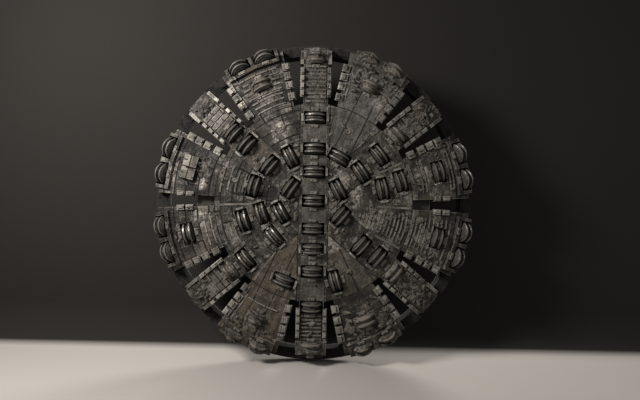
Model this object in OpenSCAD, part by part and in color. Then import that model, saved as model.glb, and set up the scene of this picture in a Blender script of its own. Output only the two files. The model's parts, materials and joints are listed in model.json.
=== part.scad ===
// Rotating cutterhead of a tunnel boring machine, for a single-track metro bore.
// The head turns about the Y axis and its face looks towards -Y.
// The origin is the centre of the drive flange's back face, with +Z up.

/* [Head] */
// Height of the flat face above the drive flange's back
face_z = 1550; // [1450:10:1700]
// Depth of the beams and plates behind the flat face
plate_depth = 550; // [500:10:600]
// Radius of the round seam between inner and outer plates
seam_r = 2000; // [1985:5:2010]
// Width of the outer plates, from the round seam to their edge
outer_w = 1180; // [1150:5:1240]
// Width of the bevel along the plates' edge
bevel_w = 300; // [240:10:340]
// How far the bevel falls back at the plates' edge
bevel_drop = 170; // [120:5:200]
// Half the angle that a wide plate spans
plate_half_deg = 12.2; // [11.9:0.1:12.8]
// Wall of the spine beam beside its cutter pockets
spine_wall = 73; // [60:1:78]
// Wall of a slanted spoke beside its cutter pockets
spoke_wall = 58; // [48:1:68]
// Wall of an arm beside its cutter pockets
arm_wall = 18; // [16:1:33]
// Width of the open seam along the face joints
seam_w = 8; // [4:1:14]
// Depth of that open seam
seam_depth = 40; // [20:2:60]

/* [Rim and back] */
// How far the rim ring stands out past the plates' edge
rim_proud = 70; // [60:2:100]
// Wall of the rim ring
rim_wall = 210; // [180:5:230]
// Length of the rim ring along the axis
rim_len = 310; // [280:10:340]
// Number of rolled segments that are welded into the rim ring
rim_parts = 48; // [40:4:60]
// Step from the flat face back to the rim ring's front
rim_step = 280; // [260:5:300]
// Middle radius of the back ring
back_ring_r = 1305; // [1290:5:1340]
// Wall of the back ring
back_ring_wall = 250; // [220:5:270]
// Thickness of the back ring
back_ring_t = 120; // [80:5:150]
// Width of a leg at the drive flange
leg_foot_w = 480; // [420:10:520]
// Width of a leg at the back ring
leg_top_w = 360; // [320:10:400]
// Outer radius of the drive flange
flange_r = 1650; // [1620:5:1700]
// Wall of the drive flange
flange_wall = 500; // [480:5:520]
// Thickness of the drive flange
flange_t = 120; // [90:5:150]
// Distance of the bolt circle from the drive flange's outer edge
bolt_inset = 110; // [80:5:130]
// Diameter of a drive flange bolt hole
bolt_hole_d = 45; // [36:1:52]
// Number of drive flange bolts
bolt_count = 48; // [36:4:60]

/* [Cutters] */
// Radius of a disc cutter's ring
disc_r = 216; // [205:1:222]
// Spacing of the two rings on a hub
ring_pitch = 115; // [108:1:118]
// Width of a ring at its root
ring_root_w = 84; // [70:1:90]
// Width of a ring at its tip
ring_tip_w = 26; // [16:1:40]
// Height of the ring's tapered part
ring_taper = 52; // [40:1:60]
// Radius of the hub between the rings
hub_r = 150; // [135:1:155]
// Bevel at the ends of the hub
hub_bevel = 30; // [15:1:40]
// Length of the hub
hub_len = 226; // [220:1:234]
// Radius of the fixed shaft
shaft_r = 60; // [50:1:75]
// Running clearance between hub and shaft
shaft_fit = 0.3; // [0.2:0.05:0.5]
// Gap between hub and saddle
end_play = 5; // [5:0.5:6]
// Thickness of a saddle
saddle_t = 42; // [36:1:42]
// Width of a saddle block
saddle_w = 180; // [150:5:200]
// How far a saddle block reaches below the shaft
saddle_foot = 130; // [110:5:150]
// How far the ring tips stand proud of the face
tip_rise = 140; // [120:2:160]
// Clearance between a ring and the end walls of its pocket
ring_room = 16; // [12:1:16]
// Width of the pocket's mouth along the shaft
mouth_w = 262; // [250:2:270]
// Thickness of the lip that covers the saddles
lip_t = 60; // [50:2:70]
// Lean of the gauge cutters out of the face
gauge_tilt = 30; // [26:1:34]
// Distance of the gauge cutters' middle from the plates' edge
gauge_inset = 92; // [90:2:110]
// Distance from the plates' middle cutters out to the gauge cutters
mid_to_gauge = 488; // [470:2:500]
// Distance of the arms' end cutters from the plates' edge
end_inset = 250; // [240:5:300]
// Height of the gauge cutters' middle below the flat face
gauge_sink = 135; // [120:5:150]
// Wall of the gauge cutters' housing round its pocket
housing_wall = 60; // [56:1:70]
// Slot between that housing and the rim's front
housing_lift = 15; // [5:1:30]

/* [Tools on the openings] */
// How far a scraper reaches into its opening
scraper_reach = 85; // [60:5:95]
// How far the scrapers of the two level openings reach
level_reach = 42; // [30:2:50]
// Height of a scraper below the face
scraper_h = 170; // [120:5:200]
// How far a scraper stands above the face
scraper_rise = 32; // [16:1:40]
// Width of a scraper's seat on the face
scraper_seat = 62; // [40:2:70]
// Length of a plate's scraper along its edge
scraper_len = 145; // [110:5:160]
// Length of an arm's scraper along its edge
arm_scraper_len = 132; // [110:2:145]
// How far an arm's scraper stands out from the arm's side
arm_reach = 62; // [50:2:70]
// Width of the trench beside an arm's scrapers
trench_w = 20; // [14:1:30]
// Depth of that trench
trench_depth = 60; // [40:5:80]
// Width of a groove between wear plates
groove_w = 10; // [6:1:14]
// Depth of that groove
groove_depth = 18; // [10:1:26]
// Height of a wear bar on the face
bar_h = 14; // [8:1:20]
// Width of a wear bar
bar_w = 26; // [18:1:32]
// Gap between the ends of an arm's bars and its trenches
arm_bar_margin = 8; // [4:1:20]

/* [Centre] */
// Radius of the feed column behind the face
feed_r = 240; // [200:5:260]
// Radius of the flange at each end of the feed column
feed_flange_r = 330; // [310:5:360]
// Thickness of that flange
feed_flange_t = 60; // [40:5:80]
// Where the feed column's rear flange starts
feed_start = 160; // [120:10:220]
// Distance of the bolt circle from the feed flange's edge
feed_bolt_inset = 45; // [35:1:50]
// Diameter of a feed column bolt hole
feed_bolt_d = 22; // [16:1:26]
// Number of feed column bolts
feed_bolts = 12; // [8:2:16]
// Radius of a foam pipe
pipe_r = 36; // [28:1:42]
// Radius of a mixing bar
mixer_r = 85; // [70:5:100]
// Length of a mixing bar
mixer_len = 520; // [400:20:600]

/* [Hidden] */
$fn = 96;
back_z = face_z - plate_depth;
fit = 0.3;
plate_r = seam_r + outer_w;
bevel_r = plate_r - bevel_w;
rim_r = plate_r + rim_proud;
rim_in = rim_r - rim_wall;
rim_front = face_z - rim_step;
rim_part_deg = 360 / rim_parts;
rim_gap_deg = fit * 180 / (PI * rim_in);
bolt_circle_r = flange_r - bolt_inset;
feed_bolt_circle_r = feed_flange_r - feed_bolt_inset;
gauge_r = plate_r - gauge_inset;
mid_r = gauge_r - mid_to_gauge;
end_r = plate_r - end_inset;
pocket_half = disc_r + ring_room;
spine_w = 2 * (pocket_half + spine_wall);
spoke_w = 2 * (pocket_half + spoke_wall);
arm_w = 2 * (pocket_half + arm_wall);
arm_lap = 60;
trench_at = arm_w / 2 - arm_wall - trench_w / 2;
arm_bar_half = trench_at - trench_w / 2 - arm_bar_margin;
gauge_floor = pocket_half + 30;
pocket_top = disc_r - tip_rise;
saddle_at = hub_len / 2 + end_play;
cavity_half = saddle_at + saddle_t;
deep = 2000;
far = 4000;

// The arms outside the round seam, by angle
arm_angles = [40, 90, 140, 220, 270, 320];
spoke_angles = [40, 140, 220, 320];
// The middles of the eight wide plates, by angle
plate_angles = [15, 65, 115, 165, 195, 245, 295, 345];

// Columns of the cutter table: angle, radius, heading of the shaft, runs freely
face_cutters = [
    [90, 40, 90, 1],
    [90, 628, 90, 1],
    [90, 1094, 90, 1],
    [90, seam_r - 279, 90, 1],
    [90, end_r, 90, 0],
    [270, 527, 270, 1],
    [270, 942, 270, 1],
    [270, seam_r - 613, 270, 1],
    [270, seam_r + 106, 270, 1],
    [270, end_r, 270, 0],
    [149, 555, 146, 1],
    [141, seam_r - 840, 141, 1],
    [140, seam_r - 218, 140, 1],
    [140, seam_r + 147, 140, 1],
    [28, 561, 28, 1],
    [34, seam_r - 866, 34, 1],
    [37, seam_r - 360, 37, 1],
    [40, seam_r + 147, 40, 0],
    [198, 690, 210, 1],
    [221.5, seam_r - 960, 221.5, 1],
    [221, seam_r - 218, 221, 1],
    [220.4, seam_r + 167, 220.4, 0],
    [335, 608, 320, 1],
    [319, seam_r - 704, 319, 1],
    [320.6, seam_r - 309, 320.6, 1],
    [320, seam_r + 147, 320, 0],
    [165.5, seam_r - 750, 165.5, 1],
    [192.5, seam_r - 930, 199, 1],
    [195.3, seam_r - 542, 198, 1],
    [12.4, seam_r - 583, 12.4, 1],
    [14.9, seam_r - 188, 17, 1],
    [61.5, 1055, 61.5, 1],
    [118, 1035, 208, 1],
    [250, seam_r - 319, 250, 1],
    [286.4, seam_r - 360, 196.4, 1],
];
// Columns: plate, its middle cutter runs freely (-1 where it has ripper blocks), its gauge cutters do
plate_cutters = [
    [15, 1, 1],
    [65, 0, 0],
    [115, 0, 1],
    [165, -1, 1],
    [195, 1, 1],
    [245, 0, 0],
    [295, 0, 0],
    [345, 1, 1],
];
gauge_half_deg = 5;

// Every cutter: angle, radius, heading, runs freely, lean, height of its middle
cutters = concat(
    [for (c = face_cutters) [c[0], c[1], c[2], c[3], 0, face_z + tip_rise - disc_r]],
    [for (p = plate_cutters) if (p[1] >= 0) [p[0], mid_r, p[0], p[1], 0, face_z + tip_rise - disc_r]],
    [for (p = plate_cutters, s = [-1, 1])
        let (a = p[0] + s * gauge_half_deg) [a, gauge_r, a, p[2], gauge_tilt, face_z - gauge_sink]]
);
free_cutters = [for (c = cutters) if (c[3] == 1) c];
clogged = [for (c = cutters) if (c[3] == 0) c];

// Middles of the scraper rows on the plates' edges, on their level edges and on the arms' edges
plate_rows = [seam_r + 190, seam_r + 420, seam_r + 610, seam_r + 790];
level_rows = [seam_r + 500, seam_r + 680];
arm_rows = [seam_r + 205, seam_r + 355, seam_r + 505, seam_r + 655];
// The gauge scrapers beside the arms' ends start here and end on the rim
gauge_scraper_from = seam_r + 800;
gauge_scraper_w = 62;

// Columns of the raised wear bars: plate, first radius, step, number of bars
wear_rows = [
    [345, 960, 78, 13],
    [345, seam_r + 110, 84, 9],
    [115, seam_r + 90, 104, 8],
    [15, seam_r + 220, 75, 2],
    [15, seam_r + 780, 70, 2],
    [65, seam_r + 500, 90, 3],
    [165, 1440, 150, 4],
    [195, seam_r + 90, 130, 2],
    [245, seam_r + 130, 160, 2],
];
// Columns of the bars and blocks across the arms: arm, first radius, step, number, width
arm_bar_rows = [
    [90, seam_r + 40, 78, 10, 26],
    [270, seam_r + 270, 78, 7, 26],
    [40, seam_r + 330, 118, 4, 84],
    [140, seam_r + 330, 118, 4, 84],
    [220, seam_r + 350, 118, 4, 84],
    [320, seam_r + 330, 118, 4, 84],
];
bar_share = 0.6;
bar_margin_deg = 3.8;
// Plates whose smooth lining hides the round seam
lined_plates = [65, 245];
// Plates with a wide bead along the round seam
bead_plates = [15, 345];
bead_w = 60;
// Columns of the wear strips along the joints: angle, inner radius, outer radius
strip_rows = [
    [25.5, 1250, seam_r - 40],
    [333.2, 1250, seam_r - 40],
    [233.5, 1250, seam_r - 40],
    [74.6, seam_r + 40, bevel_r - 30],
    [55.4, seam_r + 60, bevel_r - 30],
    [235.4, seam_r + 60, bevel_r - 30],
    [182.2, 1250, seam_r - 30],
    [357.8, 1250, seam_r - 30],
];
strip_w = 34;
// Columns of the round grooves between wear plates: from angle, to angle, radius
round_grooves = [
    [155, 177, 1377],
    [155, 177, 1519],
    [155, 177, 1721],
    [183, 205, 1377],
    [183, 205, 1519],
    [183, 205, 1721],
    [101, 126, 1540],
    [101, 126, 1790],
    [154, 176, seam_r + 330],
    [184, 206, seam_r + 330],
    [4, 26, seam_r + 330],
    [234, 256, seam_r + 330],
    [284, 306, seam_r + 330],
];
// Columns of the straight grooves: angle, inner radius, outer radius
straight_grooves = [
    [98.5, 1300, seam_r - 10],
    [102, seam_r + 50, bevel_r - 40],
    [165.5, seam_r + 50, seam_r + 420],
    [175.5, 1250, seam_r - 10],
    [246.5, 1200, seam_r + 330],
    [304.5, 1200, seam_r - 10],
    [76.5, seam_r + 50, bevel_r - 40],
    [187.5, seam_r + 50, seam_r + 800],
    [15, seam_r + 50, seam_r + 400],
];
// The level openings' inner ends are closed by a plate that lies deeper
filler_w = 380;
filler_sink = 150;
filler_t = 200;
// Ripper blocks in place of a middle cutter, two by two
ripper_size = [125, 225, 70];
ripper_gap = 26;
mixer_angles = [65, 165, 245, 345];
mixer_at = 2200;
// Columns of the foam pipes: angle, radius where the pipe turns to the face
pipe_ends = [
    [65, 1600],
    [115, 1600],
    [165, 1650],
    [2, 1650],
];

function cutter_name(i) = str("disc_cutter_", i < 9 ? "0" : "", i + 1);
function bevel_at(r) = max(0, r - bevel_r) * bevel_drop / (plate_r - bevel_r);

// Turns the face frame, with x right, y up and z to the front, into the row frame
module head() {
    rotate([90, 0, 0]) children();
}

// Puts a child in a cutter's own frame: x along its shaft, z out of the face
module at_cutter(c) {
    rotate([0, 0, c[0]]) translate([c[1], 0, c[5]]) rotate([0, 0, c[2] - c[0]])
        rotate([0, c[4], 0]) children();
}

// The space that a cutter's housing leaves: a narrow mouth over a wider cavity
module pocket(c) {
    depth = c[4] == 0 ? deep : gauge_floor;
    translate([-cavity_half, -pocket_half, -depth])
        cube([2 * cavity_half, 2 * pocket_half, depth + pocket_top - lip_t]);
    translate([-mouth_w / 2, -pocket_half, -depth])
        cube([mouth_w, 2 * pocket_half, depth + far]);
}

module pockets() {
    for (c = cutters) at_cutter(c) pocket(c);
}

// A bar that runs out from the middle at an angle, seen on the face
module ray(angle, width, from = 0) {
    rotate(angle) translate([from, -width / 2]) square([far, width]);
}

module inner_circle() {
    circle(r = seam_r, $fn = 180);
}

module spine_2d() {
    square([spine_w, 2 * far], center = true);
}

// One slanted spoke inside the round seam, on its own side of the level joint
module spoke_2d(angle) {
    up = angle < 180 ? 1 : -1;
    intersection() {
        inner_circle();
        difference() {
            ray(angle, spoke_w);
            spine_2d();
        }
        translate([-far, up > 0 ? seam_w / 2 : -far - seam_w / 2]) square([2 * far, far]);
    }
}

// The open seams on the face, cut from every piece that meets there
module seams() {
    translate([0, 0, face_z - seam_depth]) linear_extrude(far) {
        for (x = [-1, 1]) translate([x * spine_w / 2, 0]) square([seam_w, 2 * seam_r], center = true);
        for (a = spoke_angles, s = [-1, 1])
            rotate(a) translate([seam_r / 2 + spine_w / 4, s * spoke_w / 2])
                square([seam_r, seam_w], center = true);
    }
}

// The round seam is open on all plates but the two whose lining runs on across it
module round_seam() {
    for (a = plate_angles) if (a != lined_plates[0] && a != lined_plates[1])
        rotate([0, 0, a - 15]) rotate_extrude(angle = 30, $fn = 180)
            translate([seam_r, face_z - seam_depth]) square([seam_w, far]);
}

// Shallow grooves between the wear plates that line the face
module grooves() {
    for (g = round_grooves)
        rotate([0, 0, g[0]]) rotate_extrude(angle = g[1] - g[0], $fn = 180)
            translate([g[2], face_z - groove_depth]) square([groove_w, far]);
    for (g = straight_grooves)
        rotate([0, 0, g[0]]) translate([g[1], -groove_w / 2, face_z - groove_depth])
            cube([g[2] - g[1], groove_w, far]);
}

// Trenches between an arm's middle and the walls that carry its scrapers
module trenches() {
    for (a = arm_angles, s = [-1, 1]) rotate([0, 0, a])
        translate([arm_rows[0] - arm_scraper_len / 2, s * trench_at - trench_w / 2, face_z - trench_depth])
            cube([plate_r - seam_r, trench_w, far]);
}

// The section of the face outside the round seam, with its bevel and its step over the rim
module face_section(from) {
    polygon([
        [from, back_z],
        [rim_in - fit, back_z],
        [rim_in - fit, rim_front + fit],
        [plate_r, rim_front + fit],
        [plate_r, face_z - bevel_drop],
        [bevel_r, face_z],
        [from, face_z],
    ]);
}

module arm(angle) {
    intersection() {
        rotate_extrude($fn = 180) face_section(seam_r - arm_lap);
        translate([0, 0, back_z - 1]) linear_extrude(plate_depth + 2) ray(angle, arm_w);
    }
}

module drive_flange() {
    color("dimgray") head() difference() {
        cylinder(r = flange_r, h = flange_t, $fn = 180);
        translate([0, 0, -1]) cylinder(r = flange_r - flange_wall, h = flange_t + 2, $fn = 180);
        for (i = [0 : bolt_count - 1])
            rotate([0, 0, (i + 0.5) * 360 / bolt_count]) translate([bolt_circle_r, 0, -1])
                cylinder(d = bolt_hole_d, h = flange_t + 2, $fn = 24);
    }
}

module support_legs() {
    low = flange_t;
    high = back_z - back_ring_t;
    color("gray") head()
        for (a = arm_angles) rotate([0, 0, a])
            translate([back_ring_r - back_ring_wall / 2, 0, 0]) rotate([90, 0, 90])
                linear_extrude(back_ring_wall)
                    polygon([
                        [-leg_foot_w / 2, low],
                        [leg_foot_w / 2, low],
                        [leg_top_w / 2, high],
                        [-leg_top_w / 2, high],
                    ]);
}

module back_ring() {
    color("gray") head() translate([0, 0, back_z - back_ring_t]) difference() {
        cylinder(r = back_ring_r + back_ring_wall / 2, h = back_ring_t, $fn = 180);
        translate([0, 0, -1])
            cylinder(r = back_ring_r - back_ring_wall / 2, h = back_ring_t + 2, $fn = 180);
    }
}

module spine_beam() {
    color("darkgray") head() difference() {
        union() {
            translate([0, 0, back_z]) linear_extrude(plate_depth) intersection() {
                inner_circle();
                spine_2d();
            }
            arm(90);
            arm(270);
        }
        seams();
        trenches();
        pockets();
    }
}

module slanted_spokes() {
    color("darkgray") head() difference() {
        union() for (a = spoke_angles) {
            translate([0, 0, back_z]) linear_extrude(plate_depth) spoke_2d(a);
            arm(a);
        }
        seams();
        trenches();
        pockets();
    }
}

module inner_plates() {
    color("silver") head() difference() {
        translate([0, 0, back_z]) linear_extrude(plate_depth) difference() {
            inner_circle();
            spine_2d();
            for (a = spoke_angles) spoke_cut(a);
            square([2 * far, seam_w], center = true);
        }
        seams();
        grooves();
        pockets();
    }
}

// What a slanted spoke takes out of the plates beside it
module spoke_cut(angle) {
    up = angle < 180 ? 1 : -1;
    intersection() {
        ray(angle, spoke_w);
        translate([-far, up > 0 ? 0 : -far]) square([2 * far, far]);
    }
}

// Blocks that lift the plates' corners round the gauge cutters, trimmed flush with the rim
module gauge_housings() {
    half = cavity_half + housing_wall;
    side = pocket_half + housing_wall;
    intersection() {
        translate([0, 0, rim_front + housing_lift]) cylinder(r = rim_r, h = far, $fn = 180);
        for (c = cutters) if (c[4] > 0) at_cutter(c) translate([-half, -side, -gauge_floor])
            cube([4 * half, 2 * side, gauge_floor + pocket_top]);
    }
}

module outer_plates() {
    color("silver") head() difference() {
        union() {
            for (a = plate_angles) rotate([0, 0, a - plate_half_deg])
                rotate_extrude(angle = 2 * plate_half_deg, $fn = 180) face_section(seam_r + fit);
            gauge_housings();
        }
        round_seam();
        grooves();
        pockets();
    }
}

module rim_ring() {
    color("dimgray") head() difference() {
        for (i = [0 : rim_parts - 1]) rotate([0, 0, i * rim_part_deg])
            rotate_extrude(angle = rim_part_deg - rim_gap_deg, $fn = 180)
                translate([rim_in, rim_front - rim_len]) square([rim_wall, rim_len]);
        pockets();
    }
}

module cutter_shafts() {
    color("dimgray") head() for (c = free_cutters) at_cutter(c)
        translate([-saddle_at, 0, 0]) rotate([0, 90, 0]) cylinder(r = shaft_r, h = 2 * saddle_at, $fn = 48);
}

// A saddle carries each end of a shaft on the side wall of its pocket
module cutter_saddles() {
    color("slategray") head() for (c = cutters, s = [-1, 1]) at_cutter(c) {
        foot = c[4] == 0 ? saddle_foot : gauge_floor;
        translate([s > 0 ? saddle_at : -cavity_half, -saddle_w / 2, -foot])
            cube([saddle_t, saddle_w, foot + pocket_top - lip_t]);
    }
}

// The section of two wedge rings on their hub, along the shaft
module cutter_section(bore, reach) {
    a = ring_pitch / 2;
    root = disc_r - ring_taper;
    polygon([
        [bore, -reach],
        [hub_r - hub_bevel, -reach],
        [hub_r, -a - ring_root_w / 2],
        [root, -a - ring_root_w / 2],
        [disc_r, -a - ring_tip_w / 2],
        [disc_r, -a + ring_tip_w / 2],
        [root, -a + ring_root_w / 2],
        [hub_r, -a + ring_root_w / 2],
        [hub_r, a - ring_root_w / 2],
        [root, a - ring_root_w / 2],
        [disc_r, a - ring_tip_w / 2],
        [disc_r, a + ring_tip_w / 2],
        [root, a + ring_root_w / 2],
        [hub_r, a + ring_root_w / 2],
        [hub_r - hub_bevel, reach],
        [bore, reach],
    ]);
}

// A disc cutter that turns on its fixed shaft
module disc_cutter(i) {
    color("lightsteelblue") head() at_cutter(free_cutters[i]) rotate([0, 90, 0])
        rotate_extrude($fn = 96) cutter_section(shaft_r + shaft_fit, hub_len / 2);
}

// Cutters held fast by clay, with no running clearance
module clogged_cutters() {
    color("rosybrown") head() for (c = clogged) at_cutter(c) rotate([0, 90, 0])
        rotate_extrude($fn = 96) cutter_section(0, saddle_at);
}

// A scraper seen along the edge that it guards: x into the opening, y out of the face
module scraper_section(reach, seat) {
    polygon([
        [-seat, 0],
        [0, 0],
        [0, -scraper_h],
        [reach * 0.5, -scraper_h * 0.8],
        [reach, -scraper_h * 0.3],
        [reach, scraper_rise * 0.5],
        [reach - scraper_rise * 0.5, scraper_rise],
        [-seat, scraper_rise],
    ]);
}

// A scraper on the edge y = 0, with its opening on the given side
module scraper(r, length, side, reach, seat) {
    translate([r - length / 2, 0, face_z]) mirror([0, side > 0 ? 0 : 1, 0])
        rotate([90, 0, 90]) linear_extrude(length) scraper_section(reach, seat);
}

// A long block beside an arm's end, bevelled as the face is
module gauge_scraper(side) {
    end = rim_in + rim_wall / 3;
    translate([0, side > 0 ? 0 : -gauge_scraper_w, 0]) rotate([90, 0, 0]) mirror([0, 0, 1])
        linear_extrude(gauge_scraper_w)
            polygon([
                [gauge_scraper_from, face_z - scraper_h],
                [rim_in - fit, rim_front + fit],
                [end, rim_front + fit],
                [end, face_z - bevel_at(end) + scraper_rise / 2],
                [bevel_r, face_z + scraper_rise / 2],
                [gauge_scraper_from, face_z + scraper_rise / 2],
            ]);
}

module edge_scrapers() {
    color("gainsboro") head() {
        for (a = arm_angles, s = [-1, 1]) rotate([0, 0, a]) translate([0, s * arm_w / 2, 0]) {
            for (r = arm_rows) scraper(r, arm_scraper_len, s, arm_reach, arm_wall);
            gauge_scraper(s);
        }
        for (a = plate_angles, s = [-1, 1]) {
            level = abs((a + s * plate_half_deg + 90) % 180 - 90) < 10;
            for (r = level ? level_rows : plate_rows)
                rotate([0, 0, a + s * plate_half_deg])
                    scraper(r, scraper_len, s, level ? level_reach : scraper_reach, scraper_seat);
        }
    }
}

// How far a wear bar reaches to each side of its plate's middle, as an angle
function bar_half(r) = r < seam_r
    ? bar_share * asin((r * sin(spoke_angles[0] - plate_angles[0]) - spoke_w / 2) / r)
    : plate_half_deg - bar_margin_deg;

module ring_bar(plate, r, width) {
    rotate([0, 0, plate - bar_half(r)]) translate([0, 0, face_z])
        rotate_extrude(angle = 2 * bar_half(r), $fn = 180) translate([r, 0]) square([width, bar_h]);
}

module wear_bars() {
    color("gainsboro") head() difference() {
        union() {
            for (w = wear_rows, i = [0 : w[3] - 1]) ring_bar(w[0], w[1] + i * w[2], bar_w);
            for (a = bead_plates) ring_bar(a, seam_r + seam_w, bead_w);
            for (w = arm_bar_rows, i = [0 : w[3] - 1]) rotate([0, 0, w[0]])
                translate([w[1] + i * w[2], -arm_bar_half, face_z]) cube([w[4], 2 * arm_bar_half, bar_h]);
            for (p = plate_cutters, i = [-0.5, 0.5], j = [-0.5, 0.5]) if (p[1] < 0)
                rotate([0, 0, p[0]]) translate([mid_r, 0, face_z + ripper_size[2] / 2])
                    translate([i * (ripper_size[0] + ripper_gap), j * (ripper_size[1] + ripper_gap), 0])
                        cube(ripper_size, center = true);
        }
        pockets();
    }
}

module joint_strips() {
    color("white") head() {
        difference() {
            for (s = strip_rows) rotate([0, 0, s[0]])
                translate([s[1], -strip_w / 2, face_z + fit]) cube([s[2] - s[1], strip_w, bar_h / 2]);
            pockets();
        }
        for (a = [0, 180]) rotate([0, 0, a - 15 + plate_half_deg])
            rotate_extrude(angle = 2 * (15 - plate_half_deg), $fn = 180)
                translate([seam_r + fit, face_z - filler_sink - filler_t]) square([filler_w, filler_t]);
    }
}

module feed_column() {
    color("slategray") head() difference() {
        translate([0, 0, feed_start]) rotate_extrude($fn = 96)
            polygon([
                [0, 0],
                [feed_flange_r, 0],
                [feed_flange_r, feed_flange_t],
                [feed_r, feed_flange_t],
                [feed_r, back_z - feed_start - feed_flange_t],
                [feed_flange_r, back_z - feed_start - feed_flange_t],
                [feed_flange_r, back_z - feed_start],
                [0, back_z - feed_start],
            ]);
        for (i = [0 : feed_bolts - 1])
            rotate([0, 0, (i + 0.5) * 360 / feed_bolts]) translate([feed_bolt_circle_r, 0, feed_start - 1])
                cylinder(d = feed_bolt_d, h = feed_flange_t + 2, $fn = 24);
    }
}

// Pipes that carry foam from the feed column to the plates' backs
module foam_pipes() {
    pipe_z = back_z - back_ring_t - 2 * pipe_r;
    color("saddlebrown") head() for (p = pipe_ends) rotate([0, 0, p[0]]) {
        difference() {
            translate([0, 0, pipe_z]) rotate([0, 90, 0]) cylinder(r = pipe_r, h = p[1], $fn = 32);
            cylinder(r = feed_r, h = face_z, $fn = 96);
        }
        translate([p[1], 0, pipe_z]) sphere(r = pipe_r, $fn = 32);
        translate([p[1], 0, pipe_z]) cylinder(r = pipe_r, h = back_z - pipe_z, $fn = 32);
    }
}

module mixing_bars() {
    color("gray") head() for (a = mixer_angles) rotate([0, 0, a])
        translate([mixer_at, 0, back_z - mixer_len]) cylinder(r = mixer_r, h = mixer_len, $fn = 48);
}

drive_flange();
support_legs();
back_ring();
spine_beam();
slanted_spokes();
inner_plates();
outer_plates();
rim_ring();
cutter_shafts();
cutter_saddles();
clogged_cutters();
edge_scrapers();
wear_bars();
joint_strips();
feed_column();
foam_pipes();
mixing_bars();
for (i = [0 : len(free_cutters) - 1])
    disc_cutter(i);
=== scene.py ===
"""Dresses the cutterhead of a tunnel boring machine: a finish for each steel piece of the CAD model, then
the welds, screws, clamps and locks on it, then the clay, and last the studio that it stands in."""
import json
import math

import bmesh
import bpy
import numpy as np
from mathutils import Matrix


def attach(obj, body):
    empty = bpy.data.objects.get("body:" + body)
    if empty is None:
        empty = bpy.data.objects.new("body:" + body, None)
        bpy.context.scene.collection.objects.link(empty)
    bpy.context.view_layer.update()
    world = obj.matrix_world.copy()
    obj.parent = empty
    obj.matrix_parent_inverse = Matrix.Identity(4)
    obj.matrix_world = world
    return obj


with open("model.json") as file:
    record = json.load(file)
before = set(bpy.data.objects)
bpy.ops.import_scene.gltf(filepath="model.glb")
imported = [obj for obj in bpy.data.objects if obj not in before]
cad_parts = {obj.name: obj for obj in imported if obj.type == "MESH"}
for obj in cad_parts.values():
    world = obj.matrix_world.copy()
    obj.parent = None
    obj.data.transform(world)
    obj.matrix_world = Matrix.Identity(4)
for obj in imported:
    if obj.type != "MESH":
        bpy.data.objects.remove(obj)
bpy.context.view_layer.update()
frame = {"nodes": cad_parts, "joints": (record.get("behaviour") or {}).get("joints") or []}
nodes = frame["nodes"]


# Drive flange, legs, back ring, feed column and mixing bars. Heavy plate and forgings, primed, rusted
# through the primer and splashed with clay. The machine bolts to the flange; legs and bars are welded.
# Fronts are metres before the flange's back, and the face falls back on a bevel at its edge.
face_back, face_front = 1.0, 1.55
bevel_start, bevel_fall = 2.88, 0.567
dry_clay, wet_clay = (0.150, 0.133, 0.107), (0.045, 0.039, 0.031)


class Sock:
    """One value inside a finish. Arithmetic on it adds Math nodes to that finish."""

    def __init__(self, finish, out):
        self.finish, self.out = finish, out

    def _with(self, operation, *values):
        return self.finish.node("ShaderNodeMath", {"operation": operation}, dict(enumerate(values)))

    def __add__(self, other): return self._with("ADD", self, other)
    def __radd__(self, other): return self._with("ADD", other, self)
    def __sub__(self, other): return self._with("SUBTRACT", self, other)
    def __rsub__(self, other): return self._with("SUBTRACT", other, self)
    def __mul__(self, other): return self._with("MULTIPLY", self, other)
    def __rmul__(self, other): return self._with("MULTIPLY", other, self)
    def __abs__(self): return self._with("ABSOLUTE", self)
    def floor(self): return self._with("FLOOR", self)
    def sqrt(self): return self._with("SQRT", self)
    def cos(self): return self._with("COSINE", self)
    def most(self, other): return self._with("MAXIMUM", self, other)
    def least(self, other): return self._with("MINIMUM", self, other)

    def rise(self, low, high):
        """0 at low, 1 at high and a smooth step between; it falls where high is the smaller."""
        return self.finish.node("ShaderNodeMapRange", {"interpolation_type": "SMOOTHSTEP"},
                                {"Value": self, "From Min": low, "From Max": high})


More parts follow.
